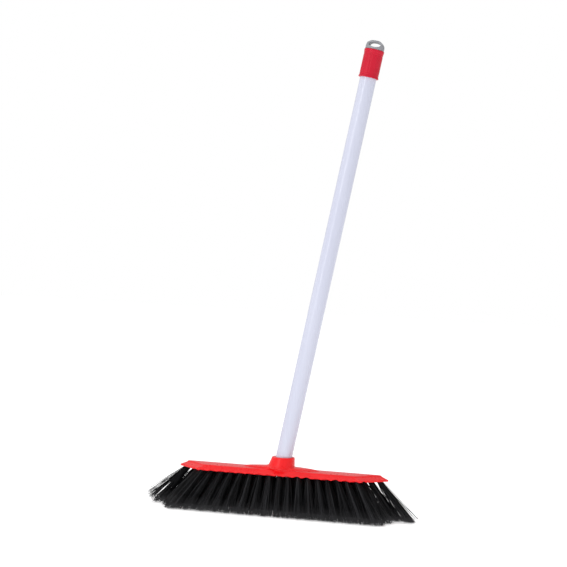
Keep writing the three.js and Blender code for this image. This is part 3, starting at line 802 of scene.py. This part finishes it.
def build_cap():
    """The hanging cap: a ring, an arch that thins towards its top, and an eye right through it."""
    foot = GRIP_HEAD + SEAT_GAP
    wide, high, shoulder = CAP_RADIUS, CAP_HEIGHT, CAP_SHOULDER
    thin, rounding = CAP_TOP_THICKNESS / 2, CAP_TOP_ROUNDING
    front = [(-wide, 0), (wide, 0), *arc((wide - shoulder, high - shoulder), shoulder, 0, 90, 24),
             *arc((shoulder - wide, high - shoulder), shoulder, 90, 180, 24)]
    side = [(-wide, 0), (wide, 0), (wide, CAP_RING),
            *arc((thin - rounding, high - rounding), rounding, 0, 90, 10),
            *arc((rounding - thin, high - rounding), rounding, 90, 180, 10), (-wide, CAP_RING)]
    depth = 4 * wide
    cap = extruded("cap_with_eye", front, depth)
    combine(cap, extruded("cap_side", side, depth, turned_round=True), "INTERSECT")
    combine(cap, turned("cap_round", [(wide, -MM), (wide, 2 * high)], 96), "INTERSECT")
    eye = [(EYE_WIDTH / 2 * math.cos(t), EYE_FLOOR + EYE_HEIGHT / 2 * (1 + math.sin(t)))
           for t in np.linspace(0, 2 * math.pi, 64, endpoint=False)]
    combine(cap, extruded("eye", eye, depth), "DIFFERENCE")
    remesh(cap, CAP_VOXEL, 4)
    plug = TUBE_RADIUS - TUBE_WALL - SEAT_GAP
    stem_foot = PLUG_FOOT - foot
    stem = turned("stem", [(plug - MM, stem_foot), (plug, stem_foot + MM), (plug, 0.6 * MM)], 96)
    combine(cap, stem, "UNION")
    shade(cap, 40)
    cap.data.transform(Matrix.Translation((0, 0, foot)))
    place_on_handle(cap)
    finish_piece(cap, "handle_fittings", "cap_plastic", GREY, "hang_cap")


# ---------------------------------------------------------------- floor, lights and camera

def build_floor():
    size = 12
    corners = [(-size, -size, 0), (size, -size, 0), (size, size, 0), (-size, size, 0)]
    floor = make_mesh("floor", corners, [(0, 1, 2, 3)])
    material, shader, _, _ = new_material("floor_white")
    shader.inputs["Base Color"].default_value = (0.93, 0.93, 0.93, 1)
    shader.inputs["Roughness"].default_value = 0.9
    shader.inputs["Specular IOR Level"].default_value = 0
    shader.inputs["Emission Color"].default_value = (1, 1, 1, 1)
    shader.inputs["Emission Strength"].default_value = 0.45
    floor.data.materials.append(material)


# How bright the surroundings are, and how much brighter they are towards +X, behind and overhead.
WORLD_LEVEL, WORLD_SIDE, WORLD_BACK, WORLD_UP = 0.57, -0.12, 0.0, 0.16


def build_world():
    """Soft white surroundings, plain white where they are seen directly."""
    world = bpy.data.worlds.new("studio")
    world.use_nodes = True
    bpy.context.scene.world = world
    tree = world.node_tree
    tree.nodes.clear()
    output = tree.nodes.new("ShaderNodeOutputWorld")
    background = tree.nodes.new("ShaderNodeBackground")
    background.inputs["Color"].default_value = (1, 1, 1, 1)
    tree.links.new(background.outputs[0], output.inputs["Surface"])
    place = tree.nodes.new("ShaderNodeTexCoord")
    weigh = tree.nodes.new("ShaderNodeVectorMath")
    weigh.operation = "DOT_PRODUCT"
    weigh.inputs[1].default_value = (WORLD_SIDE, WORLD_BACK, WORLD_UP)
    tree.links.new(place.outputs["Generated"], weigh.inputs[0])
    total = tree.nodes.new("ShaderNodeMath")
    total.operation = "ADD"
    total.inputs[1].default_value = WORLD_LEVEL
    tree.links.new(weigh.outputs["Value"], total.inputs[0])
    path = tree.nodes.new("ShaderNodeLightPath")
    seen = tree.nodes.new("ShaderNodeMath")
    seen.operation = "MAXIMUM"
    tree.links.new(total.outputs[0], seen.inputs[0])
    tree.links.new(path.outputs["Is Camera Ray"], seen.inputs[1])
    tree.links.new(seen.outputs[0], background.inputs["Strength"])


def add_light(name, place, target, width, height, power):
    lamp = bpy.data.lights.new(name, "AREA")
    lamp.shape = "RECTANGLE"
    lamp.size, lamp.size_y = width, height
    lamp.energy = power
    made = bpy.data.objects.new(name, lamp)
    made.location = place
    towards = Vector(target) - Vector(place)
    made.rotation_euler = towards.to_track_quat("-Z", "Y").to_euler()
    bpy.context.scene.collection.objects.link(made)


# Name, place, target, width, height and watts.
LIGHTS = (
    ("key", (-1.6, -2.0, 2.2), (0.05, 0, 0.3), 1.2, 1.2, 10),
    ("strip", (-0.9, -1.9, 0.8), (0.08, 0, 0.38), 0.14, 0.9, 5),
    ("top", (0.3, 0.2, 2.6), (0, 0, 0.1), 1.5, 1.5, 9),
)


def build_lights():
    for light in LIGHTS:
        add_light(*light)


CAMERA_PLACE = (0.4335, -2.2570, 0.3697)
CAMERA_YAW, CAMERA_PITCH, CAMERA_ROLL = 11.17, -0.37, 3.07  # degrees
CAMERA_LENS, SENSOR = 95.24, 36  # millimetres


def build_camera():
    yaw, pitch, roll = (math.radians(a) for a in (CAMERA_YAW, CAMERA_PITCH, CAMERA_ROLL))
    right = Vector((math.cos(yaw), math.sin(yaw), 0))
    forward = Vector((-math.sin(yaw) * math.cos(pitch), math.cos(yaw) * math.cos(pitch), math.sin(pitch)))
    up = right.cross(forward)
    across = right * math.cos(roll) + up * math.sin(roll)
    upright = up * math.cos(roll) - right * math.sin(roll)
    lens = bpy.data.cameras.new("camera")
    lens.lens, lens.sensor_width = CAMERA_LENS, SENSOR
    camera = bpy.data.objects.new("camera", lens)
    turned_to = Matrix((across, upright, -forward)).transposed().to_4x4()
    camera.matrix_world = Matrix.Translation(CAMERA_PLACE) @ turned_to
    bpy.context.scene.collection.objects.link(camera)
    bpy.context.scene.camera = camera


# ---------------------------------------------------------------- assembly

build_block()
build_bristles()
build_tube()
build_insert()
build_grip()
build_cap()
build_floor()
build_world()
build_lights()
build_camera()
bpy.context.scene.view_settings.view_transform = "Standard"
